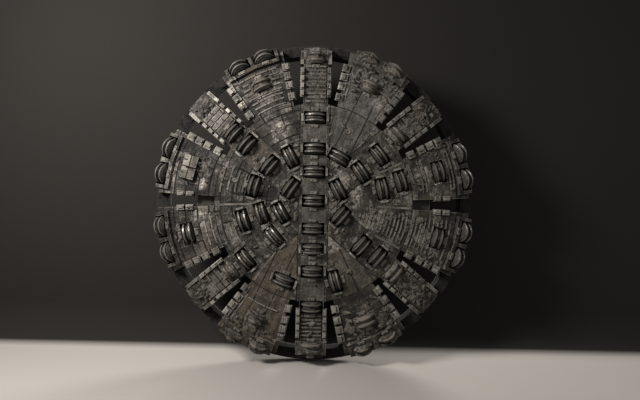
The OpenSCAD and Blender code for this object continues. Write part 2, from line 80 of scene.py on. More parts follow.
class Finish:
    """A material worked out from object coordinates, which are also the head's own."""

    def __init__(self, name):
        self.material = bpy.data.materials.new(name)
        self.material.use_nodes = True
        self.tree = self.material.node_tree
        self.tree.nodes.clear()
        self.place = self.node("ShaderNodeTexCoord", {}, {}, "Object")

    def node(self, kind, settings, values, out=0):
        """Adds one node of that kind: its settings first, then a value or a link for each socket."""
        made = self.tree.nodes.new(kind)
        for key, value in settings.items():
            setattr(made, key, value)
        for key, value in values.items():
            socket = made.inputs[key]
            if isinstance(value, Sock):
                self.tree.links.new(value.out, socket)
            elif isinstance(value, tuple):
                socket.default_value = value + (1,) * (len(socket.default_value) - len(value))
            else:
                socket.default_value = value
        return Sock(self, made.outputs[out]) if len(made.outputs) else None

    def vector(self, x, y, z):
        return self.node("ShaderNodeCombineXYZ", {}, {0: x, 1: y, 2: z})

    def parts(self, vector):
        first = self.node("ShaderNodeSeparateXYZ", {}, {0: vector})
        return [Sock(self, out) for out in first.out.node.outputs]

    def measure(self, operation, a, b):
        """A number from two vectors: their dot product or the distance between them."""
        return self.node("ShaderNodeVectorMath", {"operation": operation}, {0: a, 1: b}, "Value")

    def noise(self, vector, scale, detail=4, rough=0.6):
        return self.node("ShaderNodeTexNoise", {}, {"Vector": vector, "Scale": scale, "Detail": detail,
                                                    "Roughness": rough})

    def chance(self, x, y, z=0.0):
        return self.node("ShaderNodeTexWhiteNoise", {}, {"Vector": self.vector(x, y, z)})

    def mix(self, mask, low, high):
        """The colour low where mask is 0 and the colour high where it is 1."""
        return self.node("ShaderNodeMix", {"data_type": "RGBA"}, {0: mask, 6: low, 7: high}, 2)

    def polar(self):
        """Distance from the head's axis in metres and the turn about it in radians."""
        x, _, z = self.parts(self.place)
        return (x * x + z * z).sqrt(), self.node("ShaderNodeMath", {"operation": "ARCTAN2"}, {0: z, 1: x})

    def edges(self, radius):
        """1 on a piece's own edges and 0 on its flats, by how far a bevel would turn the surface."""
        soft = self.node("ShaderNodeBevel", {"samples": 6}, {"Radius": radius})
        true = self.node("ShaderNodeNewGeometry", {}, {}, "Normal")
        return (1 - self.measure("DOT_PRODUCT", soft, true)).rise(0.01, 0.2)

    def sunk(self):
        """1 on walls of pockets and openings, set back behind the face, and 0 on the face and behind it;
        finishes darken their colour there as painted shade.
        """
        front = 0 - self.parts(self.place)[1]
        face = face_front - (self.polar()[0] - bevel_start).most(0.0) * bevel_fall
        return (face - front).rise(0.012, 0.10) * front.rise(face_back, face_back + 0.05)

    def spots(self, places):
        """1 round the middle of each place, given as turn, distance and half size, with a ragged rim."""
        ragged, best = self.noise(self.place, 8, 5, 0.7), 0.0
        for turn, r, size in places:
            middle = (r * math.cos(math.radians(turn)), -face_front, r * math.sin(math.radians(turn)))
            away = self.measure("DISTANCE", self.place, middle)
            best = (1 - away * (1 / size)).most(best)
        return (best + (ragged - 0.5) * 1.3).rise(0.22, 0.7)

    def occlusion_shade(self, reach):
        """Painted shade: 1 in corners and gaps and 0 in the open, by how much sky a point misses."""
        sky = self.node("ShaderNodeAmbientOcclusion", {"samples": 8}, {"Distance": reach}, "AO")
        return (1 - sky).rise(0.12, 0.62)

    def close(self, color, rough, metal, height, depth):
        """Ends the finish in one steel or clay shader, with the height as bump."""
        bump = self.node("ShaderNodeBump", {}, {"Strength": 1.0, "Distance": depth, "Height": height})
        shader = self.node("ShaderNodeBsdfPrincipled", {}, {
            "Base Color": color, "Roughness": rough, "Metallic": metal, "Normal": bump,
            "Specular IOR Level": 0.4})
        self.node("ShaderNodeOutputMaterial", {}, {"Surface": shader})
        return self.material


def shade(color, factor):
    """The colour at another brightness."""
    return tuple(min(1.0, part * factor) for part in color)


def weathered_steel(name, bare, primer, rust, clay_share, rust_share):
    """Primer worn through to bare steel, then rust and clay over it. Each lies where a sum of noises
    passes a threshold that its share brings down, and edges are rubbed bare."""
    f = Finish(name)
    broad, blotch = f.noise(f.place, 1.3), f.noise(f.place, 6, 5, 0.65)
    grain, grit = f.noise(f.place, 45, 4, 0.65), f.noise(f.place, 170, 2, 0.5)
    x, y, z = f.parts(f.place)
    runs = f.noise(f.vector(x * 12, y * 12, z * 1.6), 1.0)
    edge = f.edges(0.02)
    rusty = blotch * 0.6 + runs * 0.25 + grain * 0.15
    rusty = rusty.rise(0.62 - rust_share * 0.3, 0.70 - rust_share * 0.3)
    caked = broad * 0.5 + blotch * 0.3 + grain * 0.2
    caked = caked.rise(0.66 - clay_share * 0.3, 0.74 - clay_share * 0.3)
    color = f.mix((grain + broad).rise(0.7, 1.3), primer, bare)
    color = f.mix(rusty, color, f.mix(grain.rise(0.35, 0.65), rust, shade(rust, 0.45)))
    color = f.mix(edge * (1 - rusty) * 0.6, color, bare)
    color = f.mix(caked, color, f.mix(grit.rise(0.3, 0.7), shade(dry_clay, 0.7), dry_clay))
    rough = 0.5 + rusty * 0.3 + caked * 0.25 + grain * 0.1
    height = grain * 0.3 + blotch * 0.2 + caked * 0.8 + grit * 0.1
    return f.close(color, rough, (1 - caked) * (1 - rusty) * 0.4, height, 0.012)


def finish_node(node, material):
    """Puts one material on a CAD node and leaves its mesh as it is."""
    nodes[node].data.materials.clear()
    nodes[node].data.materials.append(material)


back_steel = weathered_steel("back_steel", (0.17, 0.158, 0.138), (0.10, 0.093, 0.082),
                             (0.095, 0.056, 0.034), 0.4, 0.5)
for node in ("drive_flange", "support_legs", "back_ring", "feed_column", "mixing_bars"):
    finish_node(node, back_steel)


# Welds behind the face. Heavy fillet beads join the legs to the flange and to the back ring, the ring
# to the plates, and spokes and spine to the plates; each bead is laid in short overlapping ripples.
arm_turns = np.array([40, 90, 140, 220, 270, 320.0])
plate_turns = np.array([15, 65, 115, 165, 195, 245, 295, 345.0])
plate_half_turn, seam_r = 12.2, 2.0
spine_edge, spoke_edge = 0.305, 0.29
face_out = np.array([0, -1.0, 0])


def grid_mesh(name, points, wrap=(False, False), smooth=True, solid=True):
    """A mesh object from one grid of points, shape (u, v, 3), or from n alike, shape (n, u, v, 3).
    Corner (i, j) joins (i + 1, j), (i + 1, j + 1) and (i, j + 1); a wrapped side closes on its start.
    Points that coincide are merged, and a solid is turned so that the volume inside it is positive."""
    points = np.asarray(points, float)
    points = points[None] if points.ndim == 3 else points
    n, u, v, _ = points.shape
    i, j = np.meshgrid(np.arange(u - (not wrap[0])), np.arange(v - (not wrap[1])), indexing="ij")
    i2, j2 = (i + 1) % u, (j + 1) % v
    quad = np.stack([i * v + j, i2 * v + j, i2 * v + j2, i * v + j2], -1).reshape(-1, 4)
    faces = (quad[None] + (np.arange(n) * u * v)[:, None, None]).reshape(-1, 4)
    a, b, c, d = points.reshape(-1, 3)[faces].transpose(1, 0, 2)
    if solid and (a * np.cross(b, c) + a * np.cross(c, d)).sum() < 0:
        faces = faces[:, ::-1]
    mesh = bpy.data.meshes.new(name)
    mesh.from_pydata(points.reshape(-1, 3), [], faces.tolist())
    if solid:
        shell = bmesh.new()
        shell.from_mesh(mesh)
        bmesh.ops.remove_doubles(shell, verts=shell.verts, dist=1e-6)
        shell.to_mesh(mesh)
        shell.free()
    mesh.polygons.foreach_set("use_smooth", np.full(len(mesh.polygons), smooth))
    piece = bpy.data.objects.new(name, mesh)
    bpy.context.scene.collection.objects.link(piece)
    return piece


def at(turn, r, across, front):
    """World points in metres: r out along a ray at the turn in degrees, across it, and that far front."""
    a = np.radians(turn)
    x, y, z = np.broadcast_arrays(r * np.cos(a) - across * np.sin(a), -np.asarray(front, float),
                                  r * np.sin(a) + across * np.cos(a))
    return np.stack([x, y, z], -1)


def lengths(paths):
    """The length of each path, shape (n, k, 3), from its start to each of its points."""
    steps = np.linalg.norm(np.diff(paths, axis=1), axis=2)
    return np.concatenate([np.zeros((len(paths), 1)), steps.cumsum(1)], 1)


def along(corners, count):
    """Count points spread evenly by length along each path of corners, shape (n, k, 3)."""
    corners, even = np.asarray(corners, float), np.linspace(0, 1, count)
    return np.array([np.stack([np.interp(even * reach[-1], reach, path[:, k]) for k in range(3)], -1)
                     for reach, path in zip(lengths(corners), corners)])


def beads(name, paths, radius, ripple=0.03):
    """Weld beads along paths that lie square to the head's axis: a circle of the radius is carried along
    each path, swells by an eighth in every ripple and shrinks to a point at both ends."""
    ahead = np.gradient(paths, axis=1)
    ahead /= np.linalg.norm(ahead, axis=2, keepdims=True) + 1e-9
    side = np.cross(ahead, face_out)
    swell = radius * (0.95 + 0.12 * np.abs(np.sin(lengths(paths) * math.pi / ripple)))
    swell[:, [0, -1]] = 0
    way = np.linspace(0, 2 * math.pi, 8, endpoint=False)
    ring = side[:, :, None] * np.cos(way)[:, None] + face_out * np.sin(way)[:, None]
    return grid_mesh(name, paths[:, :, None] + ring * swell[:, :, None, None], (False, True))


def weld_metal(name):
    """Dull weld metal, lighter where a blotched noise is high, with rust where it is highest."""
    f = Finish(name)
    blotch, grain = f.noise(f.place, 20, 4, 0.6), f.noise(f.place, 110, 3, 0.6)
    color = f.mix((blotch * 0.6 + grain * 0.4).rise(0.38, 0.62), (0.05, 0.042, 0.034), (0.17, 0.155, 0.13))
    color = f.mix(blotch.rise(0.55, 0.7), color, (0.12, 0.062, 0.033))
    return f.close(color, 0.45 + grain * 0.3, 0.4, blotch * 0.5 + grain * 0.5, 0.006)


leg_inner, leg_outer = 1.18, 1.43
leg_middle = (leg_inner + leg_outer) / 2
leg_r = np.array([leg_middle, leg_outer, leg_outer, leg_inner, leg_inner, leg_middle])
leg_across = np.array([1, 1, -1, -1, 1, 1.0])
foot, head = (0.24, 0.122), (0.18, 0.878)
legs = beads("leg_welds", along([at(turn, leg_r, leg_across * half_width, front)
                                 for half_width, front in (foot, head) for turn in arm_turns], 120), 0.017)
round_turns = np.linspace(0, 360, 400)
rings = beads("back_ring_welds", np.stack([at(round_turns, r, 0, 0.998) for r in (leg_inner, leg_outer)]),
              0.013)
bead_front = face_back - 0.001
spoke_turns, spine_turns = (40, 140, 220, 320), (90, 270)
spoke_lines = [at(turn, np.array([start, seam_r]), side * edge, bead_front)
               for turns, start, edge in ((spoke_turns, 0.5, spoke_edge), (spine_turns, 0.36, spine_edge))
               for turn in turns for side in (-1, 1)]
spokes = beads("spoke_back_welds", along(spoke_lines, 150), 0.008)
plate_span = np.linspace(-plate_half_turn, plate_half_turn, 60)
seams = beads("round_seam_back_welds",
              np.stack([at(turn + plate_span, seam_r, 0, bead_front) for turn in plate_turns]), 0.008)
weld = weld_metal("weld_metal")
for piece in (legs, rings, spokes, seams):
    piece.data.materials.append(weld)
    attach(piece, "head")


# Feed flange screws. Twelve hexagon heads, each on a washer, pull the front flange of the feed column
# to the spine's back. Plain steel, lightly rusted, with a chamfer round the top of each head.
def capped(name, places, right, out, outline, levels):
    """Solids with a cap at both ends: the outline, in metres, is carried up the levels, each a scale of
    the outline and a height, from every place with its own right and out directions."""
    places, right, out = (np.broadcast_to(np.asarray(part, float), np.shape(places))
                          for part in (places, right, out))
    up = np.cross(out, right)
    scale, height = np.asarray(levels, float).T
    flat = right[:, None, None] * outline[:, 0, None] + up[:, None, None] * outline[:, 1, None]
    return grid_mesh(name, places[:, None, None] + flat * scale[:, None, None]
                     + out[:, None, None] * height[:, None, None], (False, True), smooth=False)


def chamfered(low, shoulder, top, share):
    """Levels of a block: straight from low to its shoulder, then in to a share of its size at the top."""
    return [(0, low), (1, low), (1, shoulder), (share, top), (0, top)]


def circle(radius, count):
    """Outline of a regular polygon, corners on a circle of the radius."""
    way = np.linspace(0, 2 * math.pi, count, endpoint=False)
    return radius * np.stack([np.cos(way), np.sin(way)], -1)


feed_bolt_r, feed_flange_back, washer = 0.285, 0.94, 0.004
places = at(np.arange(12) * 30.0 + 15, feed_bolt_r, 0, feed_flange_back)
washers = capped("feed_flange_washers", places, (1, 0, 0), (0, 1, 0), circle(0.026, 16),
                 [(0, 0), (1, 0), (1, washer), (0, washer)])
heads = capped("feed_flange_screws", places, (1, 0, 0), (0, 1, 0), circle(0.0215, 6),
               chamfered(washer, 0.016, 0.019, 0.86))
bolt_steel = weathered_steel("bolt_steel", (0.22, 0.205, 0.18), (0.10, 0.093, 0.082), (0.09, 0.06, 0.042),
                             0.1, 0.4)
for piece in (washers, heads):
    piece.data.materials.append(bolt_steel)
    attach(piece, "head")


# Foam pipes. Drawn steel tube that carries foam from the feed column to the plates' backs, with a collar
# at each end and two split clamps on each run, and no paint left on it.
pipe_steel = weathered_steel("pipe_steel", (0.2, 0.175, 0.15), (0.13, 0.098, 0.074), (0.165, 0.075, 0.034),
                             0.2, 0.9)
finish_node("foam_pipes", pipe_steel)
pipe_front, pipe_r = 0.808, 0.036
pipe_runs = ((65, 1.60), (115, 1.60), (165, 1.65), (2, 1.65))
bands = []       # base, axis, side, half width and radius of each collar and clamp
for turn, reach in pipe_runs:
    ray, side = at(turn, 1.0, 0, 0.0), at(turn, 0.0, 1.0, 0.0)
    for r, half, swell in ((0.262, 0.022, 0.05), (0.62, 0.02, 0.043), (reach - 0.42, 0.02, 0.043)):
        bands.append((at(turn, r, 0, pipe_front) - ray * half, ray, side, half, swell))
    bands.append((at(turn, reach, 0, 0.972), face_out, side, 0.015, 0.056))
band_inside = np.array([True, False, False, False, False, True])
band_run = np.array([0, 0, 0.12, 0.88, 1, 1])
way = np.linspace(0, 2 * math.pi, 24, endpoint=False)
collars = []
for base, axis, side, half, swell in bands:
    ring = side * np.cos(way)[:, None] + np.cross(axis, side) * np.sin(way)[:, None]
    radius = np.where(band_inside, pipe_r * 0.98, swell)
    collars.append(base + ring[None] * radius[:, None, None] + axis * (band_run * 2 * half)[:, None, None])
collars = grid_mesh("pipe_collars_and_clamps", np.array(collars), (True, True), smooth=False)
collars.data.materials.append(bolt_steel)
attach(collars, "head")


# Spine beam. One upright beam of thick wear plate across the whole head, welded to its neighbours, with
# a smooth lining up its middle. The rock grinds its edges bright, and turning draws the clay into arcs.
def face_steel(name, tones, clay_share, cell=0.0, joints=(), wiped=(), linings=()):
    """Arcs of noise along the turn, over patches of that cell by radius and angle, with bright edges and
    clay by noise. Joints are lines of black mud beside the spine, beside the spokes or round the seam.
    Wiped places, as turn, distance and half size, are bright, where rock has rubbed the clay off; the
    brightness is also a painted wet sheen. A lining, as the turn of a plate's middle and a colour, is a
    smooth even skin on that plate with two straight grooves out along it; the one at 90 degrees is the
    spine's, and has no grooves. Hollows and the walls of pockets are darkened with painted shade."""
    dark, mid, light, warm, clay = tones
    f = Finish(name)
    r, turn = f.polar()
    x, y, z = f.parts(f.place)
    broad, blotch = f.noise(f.place, 1.2, 3), f.noise(f.place, 5.5, 5, 0.65)
    grain, grit = f.noise(f.place, 32, 4, 0.68), f.noise(f.place, 130, 2, 0.5)
    arcs = f.noise(f.vector(r * 34, turn * 2.4, y * 4), 1.0, 5, 0.7)
    runs = f.noise(f.vector(x * 16, y * 6, z * 1.5), 1.0, 4, 0.65)
    chips = f.noise(f.place, 13, 3, 0.62)
    tone = arcs * 0.28 + blotch * 0.28 + chips * 0.26 + grain * 0.14 + runs * 0.08
    seam = 0.0
    if cell:
        per_radian, left_turn = 3.1, 2.6
        ring = (r * (1 / cell)).floor()
        shift = turn * per_radian + f.chance(ring, 3.7) * 4
        sector = shift.floor()
        tone = tone + (f.chance(ring, sector, 8.1) - 0.5) * 0.12
        across = abs(r * (1 / cell) - ring - 0.5) * cell
        beside = (0.5 - abs(shift - sector - 0.5)) * r * (1 / per_radian)
        left = (turn - left_turn).cos().rise(0.45, 0.6)
        seam = (cell / 2 - across).least(beside).rise(0.017, 0.007) * blotch.rise(0.3, 0.42) * left
    color = f.mix(tone.rise(0.45, 0.54), dark, mid)
    color = f.mix(tone.rise(0.53, 0.62), color, light)
    color = f.mix((broad * 0.7 + blotch * 0.35).rise(0.52, 0.66) * 0.6, color, warm)
    shadow = f.noise(f.place, 2.6, 4, 0.6).rise(0.56, 0.42)
    color = f.mix(shadow * 0.55, color, dark)

    even = 0.0
    for middle, lining in linings:
        toward = math.radians(middle)
        if middle == 90:
            lined = abs(x).rise(0.25, 0.235) * r.rise(1.98, 1.94)
        else:
            lined = (turn - toward).cos().rise(math.cos(math.radians(13.4)), math.cos(math.radians(12.6)))
        streak = f.noise(f.vector(r * 1.3, turn * 26, 0.0), 1.0, 4, 0.6)
        streak = (streak * 0.35 + blotch * 0.35 + grain * 0.3).rise(0.42, 0.58)
        color = f.mix(lined * 0.76, color, f.mix(streak, shade(lining, 0.36), shade(lining, 1.1)))
        if middle != 90:
            aside = x * -math.sin(toward) + z * math.cos(toward)
            groove = abs(abs(aside + 0.06) - 0.17) + (grain - 0.5) * 0.014
            color = f.mix(groove.rise(0.02, 0.009) * lined * 0.9, color, shade(dark, 0.4))
        even = lined.most(even)

    # The wiped spots are steel rubbed bare of clay, and their brightness is also a painted wet sheen.
    bare = f.spots(wiped) if wiped else 0.0
    if wiped:
        rubbed = (arcs * 0.4 + grain * 0.3 + chips * 0.3).rise(0.36, 0.6)
        color = f.mix(bare * rubbed * 0.9, color, shade(light, 1.7))
    edge = f.edges(0.024)
    color = f.mix(edge * (grain * 0.6 + blotch * 0.6).rise(0.5, 0.7) * 0.8, color, shade(light, 1.4))
    caked = blotch * 0.45 + broad * 0.3 + grain * 0.25
    caked = caked.rise(0.68 - clay_share * 0.3, 0.73 - clay_share * 0.3) * (1 - even * 0.5)
    color = f.mix(caked * 0.9, color, f.mix(grit.rise(0.3, 0.7), shade(clay, 0.6), clay))
    if cell:
        color = f.mix(seam * 0.9, color, shade(dark, 0.3))
    if joints:
        up, out = math.sin(math.radians(40)), math.cos(math.radians(40))
        gaps = {"spine": lambda: abs(abs(x) - spine_edge), "round": lambda: abs(r - seam_r),
                "spokes": lambda: abs(abs(abs(z) * out - abs(x) * up) - spoke_edge)}
        gap = gaps[joints[0]]()
        for joint in joints[1:]:
            gap = gap.least(gaps[joint]())
        mud = (gap + (grain - 0.5) * 0.02).rise(0.017, 0.006)
        color = f.mix(mud * 0.85, color, shade(dark, 0.3))

    # Painted shade: hollows darken by occlusion, and the walls of pockets and openings take a darker
    # colour.
    sunk, packed_clay_and_hollow_shade = f.sunk(), f.occlusion_shade(0.11)
    color = f.mix(packed_clay_and_hollow_shade * (1 - edge * 0.4) * 0.85, color, shade(dark, 0.7))
    # Painted shade: the darker colour of the pocket walls.
    wall = f.mix(blotch.rise(0.4, 0.6), shade(dark, 0.4), shade(mid, 0.45))
    color = f.mix(sunk * (1 - edge * 0.5) * 0.9, color, wall)
    wet = f.noise(f.place, 3.1, 3).rise(0.47, 0.6)
    rough = 0.66 + grain * 0.3 - edge * 0.14 - wet * (0.34 - caked * 0.2) - bare * 0.15 + sunk * 0.6
    height = (chips * (0.8 - even * 0.4) + grain * 0.34 + arcs * 0.3 + blotch * 0.3 + caked * 0.5
              + grit * 0.08 - seam * 0.9)
    return f.close(color, rough, (1 - caked) * (1 - sunk) * 0.4, height, 0.02)


dark, mid, light = (0.0125, 0.0113, 0.0096), (0.047, 0.0425, 0.036), (0.21, 0.195, 0.168)
warm = (0.068, 0.0545, 0.039)
finish_node("spine_beam", face_steel("spine_steel", (dark, shade(mid, 1.05), light, warm, dry_clay), 0.25,
                                     joints=("spine",), linings=((90, (0.098, 0.09, 0.078)),)))

# Slanted spokes. Four beams of the same wear plate at 40, 140, 220 and 320 degrees, welded into the
# face. Their ends are the most worn and the most caked.
face_tones = (dark, mid, light, warm, dry_clay)
finish_node("slanted_spokes", face_steel(
    "spoke_steel", face_tones, 0.35, joints=("spokes",),
    wiped=((140, 2.55, 0.3), (40, 0.75, 0.25), (40, 2.5, 0.15), (221, 2.72, 0.28))))

# Inner face plates. Eight sectors of wear plate inside the round seam, set between spine and spokes and
# patched in rings. Three carry a smooth lining, brown at 245 degrees and grey at 65 and 295.
patch = 0.235
finish_node("inner_plates", face_steel(
    "inner_plate_steel", face_tones, 0.3, patch, ("spine", "spokes", "round"),
    ((20, 0.85, 0.3), (345, 1.3, 0.35), (116, 1.6, 0.35), (295, 0.9, 0.3)),
    ((245, (0.122, 0.1, 0.07)), (65, (0.108, 0.1, 0.09)), (295, (0.092, 0.079, 0.061)))))

# Outer face plates. Eight bevelled sectors outside the seam, welded to the rim, with an opening for the
# spoil on both sides of each. Those at 245 and 65 degrees carry on their inner neighbours' lining.
finish_node("outer_plates", face_steel(
    "outer_plate_steel", face_tones, 0.3, patch, ("round",),
    ((171, 2.28, 0.2), (189, 2.3, 0.26), (197, 2.55, 0.2), (115, 2.45, 0.4), (57, 2.4, 0.25),
     (16, 2.25, 0.25), (343, 2.3, 0.3)),
    ((245, (0.122, 0.1, 0.07)), (65, (0.125, 0.117, 0.107)))))

# Rim ring. Rolled segments welded into one hoop, which closes the face at its edge. Its steel is the
# darkest of the head: wet clay cakes it nearly all over, and its tones are the face's darkened as
# painted shade, since the rim sits back behind the plates.
finish_node("rim_ring", face_steel("rim_steel", (shade(dark, 0.6), shade(mid, 0.5), shade(light, 0.3),
                                                 shade(warm, 0.55), shade(dry_clay, 0.3)), 0.85))


# Cutter shafts and saddles. Forged shafts held by cast blocks on the side walls of the pockets, dark
# with the grease that the cutters' bearings let out, and dusted with clay.
def greasy_casting(name):
    """Dark casting, mottled by noise and paler at its edges, with a skin of grease that is glossy except
    where noise lays clay on it."""
    f = Finish(name)
    blotch, grain = f.noise(f.place, 9, 4, 0.6), f.noise(f.place, 60, 4, 0.65)
    color = f.mix((blotch * 0.6 + grain * 0.4).rise(0.4, 0.65), (0.018, 0.016, 0.014), (0.055, 0.05, 0.043))
    color = f.mix(f.edges(0.012) * 0.6, color, (0.2, 0.185, 0.16))
    dusty = (blotch * 0.5 + grain * 0.5).rise(0.54, 0.62)
    color = f.mix(dusty * 0.5, color, wet_clay)
    # Painted shade: near black in hollows, by occlusion.
    color = f.mix(f.occlusion_shade(0.08) * 0.8, color, (0.008, 0.007, 0.006))
    height = blotch * 0.4 + grain * 0.4 + dusty * 0.3
    return f.close(color, 0.3 + dusty * 0.5 + grain * 0.2, (1 - dusty) * 0.5, height, 0.008)


for node in ("cutter_shafts", "cutter_saddles"):
    finish_node(node, greasy_casting(node + "_steel"))


# Disc cutters. Two forged rings shrunk on one hub, polished on the flanks and the tips by the rock and
# muddy at the root. Each has its own centre and axis, so the wear runs round it.
def rolled_steel(name, centre, axis):
    """Shade by rho, the distance from the cutter's own axis: muddy hub, dark flank, bright tip. Rho is
    the square root of a point's squared distance from the centre less its squared run down the axis."""
    f = Finish(name)
    out = f.node("ShaderNodeVectorMath", {"operation": "SUBTRACT"}, {0: f.place, 1: tuple(centre)})
    run = f.measure("DOT_PRODUCT", out, tuple(axis))
    rho = (f.measure("DOT_PRODUCT", out, out) - run * run).most(0.0).sqrt()
    blotch, grain = f.noise(f.place, 14, 4, 0.6), f.noise(f.place, 90, 3, 0.6)
    hoops = f.noise(f.vector(rho * 260, run * 260, 0.0), 1.0, 2, 0.5)
    polished = (rho + (blotch - 0.5) * 0.06).rise(0.176, 0.197)
    tip = (rho + (grain - 0.5) * 0.008).rise(0.206, 0.213)
    color = f.mix(blotch.rise(0.4, 0.62), (0.011, 0.0102, 0.0092), (0.046, 0.043, 0.0385))
    color = f.mix(hoops.rise(0.5, 0.7) * 0.35, color, (0.13, 0.122, 0.108))
    color = f.mix(tip * 0.8, color, (0.22, 0.207, 0.185))
    muddy = (1 - polished).most((blotch * 0.7 + grain * 0.3).rise(0.46, 0.55) * 0.9)
    mud = f.mix((grain * 0.5 + blotch * 0.5).rise(0.4, 0.6), (0.01, 0.009, 0.0075), (0.05, 0.044, 0.035))
    color = f.mix(muddy * 0.9, color, mud)
    # Painted shade: near black where the pocket walls close round the cutter, by occlusion.
    color = f.mix(f.occlusion_shade(0.27) * 0.95, color, (0.006, 0.0055, 0.005))
    rough = 0.27 + muddy * 0.4 + hoops * 0.12 + blotch * 0.14
    return f.close(color, rough, (1 - muddy) * 0.7, blotch * 0.4 + hoops * 0.12 + grain * 0.3, 0.007)


for joint in frame["joints"]:
    disc = "disc_cutter_" + joint["child"][-2:]
    finish_node(disc, rolled_steel(joint["child"] + "_steel", joint["pos_m"], joint["axis"]))


# Clogged cutters. The same cutters, stopped by clay that has set round them: it fills the pocket's mouth
# and the groove between the two rings, so that only the tips show.
def lumpy(points, cell, seed):
    """Smooth noise from -1 to 1: chance values on a cubic lattice of that cell, blended between corners."""
    q = np.asarray(points) / cell + 1000.0
    base = np.floor(q).astype(np.int64)
    t = q - base
    t = t * t * (3 - 2 * t)
    total = np.zeros(q.shape[:-1])
    for corner in np.ndindex(2, 2, 2):
        c = base + corner
        mixed = (c[..., 0] * 73856093) ^ (c[..., 1] * 19349663) ^ (c[..., 2] * 83492791) ^ (seed * 7919)
        mixed = ((mixed & 0x7FFFFFFF) * 48271) % 0x7FFFFFFF
        mixed = ((mixed ^ (mixed >> 15)) * 48271) % 0x7FFFFFFF
        total += (mixed / 0x3FFFFFFF - 1) * np.prod(np.where(np.array(corner), t, 1 - t), -1)
    return total


def rugged(points, cell, seed):
    """Three octaves of that noise, each about half as large and as wide as the last."""
    return (lumpy(points, cell, seed) + 0.5 * lumpy(points, cell / 2.3, seed + 1)
            + 0.25 * lumpy(points, cell / 5.1, seed + 2))


def clay_finish(name, dark, dry):
    """Clay by noise between dark and dry, wet and glossy in broad places, and darkened as painted shade
    where it lies sunk behind the face and in gaps.
    """
    f = Finish(name)
    broad, blotch = f.noise(f.place, 2.2, 3), f.noise(f.place, 14, 5, 0.68)
    grain, grit = f.noise(f.place, 60, 4, 0.7), f.noise(f.place, 190, 2, 0.6)
    damp = broad * 0.3 + blotch * 0.45 + grain * 0.3
    color = f.mix(damp.rise(0.44, 0.62), dark, dry)
    color = f.mix(grit.rise(0.5, 0.7) * blotch.rise(0.5, 0.6), color, shade(dry, 1.6))
    # Painted shade: darker behind the face and in hollows.
    color = f.mix(f.sunk() * 0.7, color, shade(dark, 0.6))
    color = f.mix(f.occlusion_shade(0.06) * 0.75, color, shade(dark, 0.35))
    wet = f.noise(f.place, 4.3, 3).rise(0.48, 0.58)
    height = blotch * 0.7 + grain * 0.5 + grit * 0.15
    return f.close(color, 0.9 - wet * 0.42 + grain * 0.1, 0.0, height, 0.02)


def cutter_frame(turn, r, tilt, height):
    """A cutter's middle, its shaft's direction and the direction that it faces: the ray at the turn and
    the face's own direction, both tilted together."""
    ray = at(turn, 1.0, 0, 0.0)
    return (at(turn, r, 0, height), ray * math.cos(tilt) - face_out * math.sin(tilt),
            ray * math.sin(tilt) + face_out * math.cos(tilt))


def crust(name, top, down):
    """A closed crust: the top grid, the same grid moved down, and a rim pinched between them."""
    low = top + down
    halfway = (top + low) / 2
    ring = np.concatenate([top, low[..., ::-1, :]], -2)
    ends = np.concatenate([halfway, halfway[..., ::-1, :]], -2)
    return grid_mesh(name, np.concatenate([ends[..., :1, :, :], ring, ends[..., -1:, :, :]], -3),
                     (False, True), smooth=False)


finish_node("clogged_cutters", face_steel("clogged_steel", face_tones, 0.75))
lean, face_height, gauge_r, gauge_height = math.radians(30), 1.474, 3.088, 1.415
clogged = [(turn, r, 0.0, face_height) for turn, r in (
    (90, 2.93), (270, 2.93), (40, 2.147), (220.4, 2.167), (320, 2.147),
    (65, 2.6), (115, 2.6), (245, 2.6), (295, 2.6))]
clogged += [(turn, gauge_r, lean, gauge_height) for turn in (60, 70, 240, 250, 290, 300)]
clogged_frames = np.array([cutter_frame(*cutter) for cutter in clogged])
middle, shaft, outward = (clogged_frames[:, k, None, None] for k in range(3))

drum_half, drum_r = 0.129, 0.185
way, run = np.linspace(0, 2 * math.pi, 72, endpoint=False), np.linspace(-1, 1, 23)
core = middle + shaft * (run * drum_half)[:, None, None]
spoke = (outward * np.cos(way)[:, None] + np.cross(outward, shaft) * np.sin(way)[:, None]) * drum_r
swell = 0.183 + 0.012 * rugged(core + spoke, 0.09, 3) + 0.010 * rugged(core + spoke, 0.035, 5)
swell -= 0.05 * run[:, None] ** 6
swell[:, [0, -1]] = 0
packed_clay_and_hollow_shade = grid_mesh("clay_between_rings", core + spoke * (swell / drum_r)[..., None], (False, True),
                   smooth=False)

mouth_front, crust_depth = 0.062, 0.05
mouth_x, mouth_y = np.linspace(-0.145, 0.145, 26), np.linspace(-0.245, 0.245, 42)
bed = (middle + shaft * mouth_x[:, None, None] + np.cross(outward, shaft) * mouth_y[:, None]
       + outward * mouth_front)
fade = (np.minimum(1, 8 * (1 - np.abs(mouth_x / 0.15)))[:, None]
        * np.minimum(1, 8 * (1 - np.abs(mouth_y / 0.25))))
heave = 0.014 * rugged(bed, 0.1, 9) + 0.010 * rugged(bed, 0.035, 12) + 0.014
mouths = crust("clay_in_pockets", bed + outward * (heave * fade)[..., None], -crust_depth * outward)
stiff_clay = clay_finish("stiff_clay", (0.026, 0.023, 0.019), (0.112, 0.1, 0.081))
for piece in (packed_clay_and_hollow_shade, mouths):
    piece.data.materials.append(stiff_clay)
    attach(piece, "head")


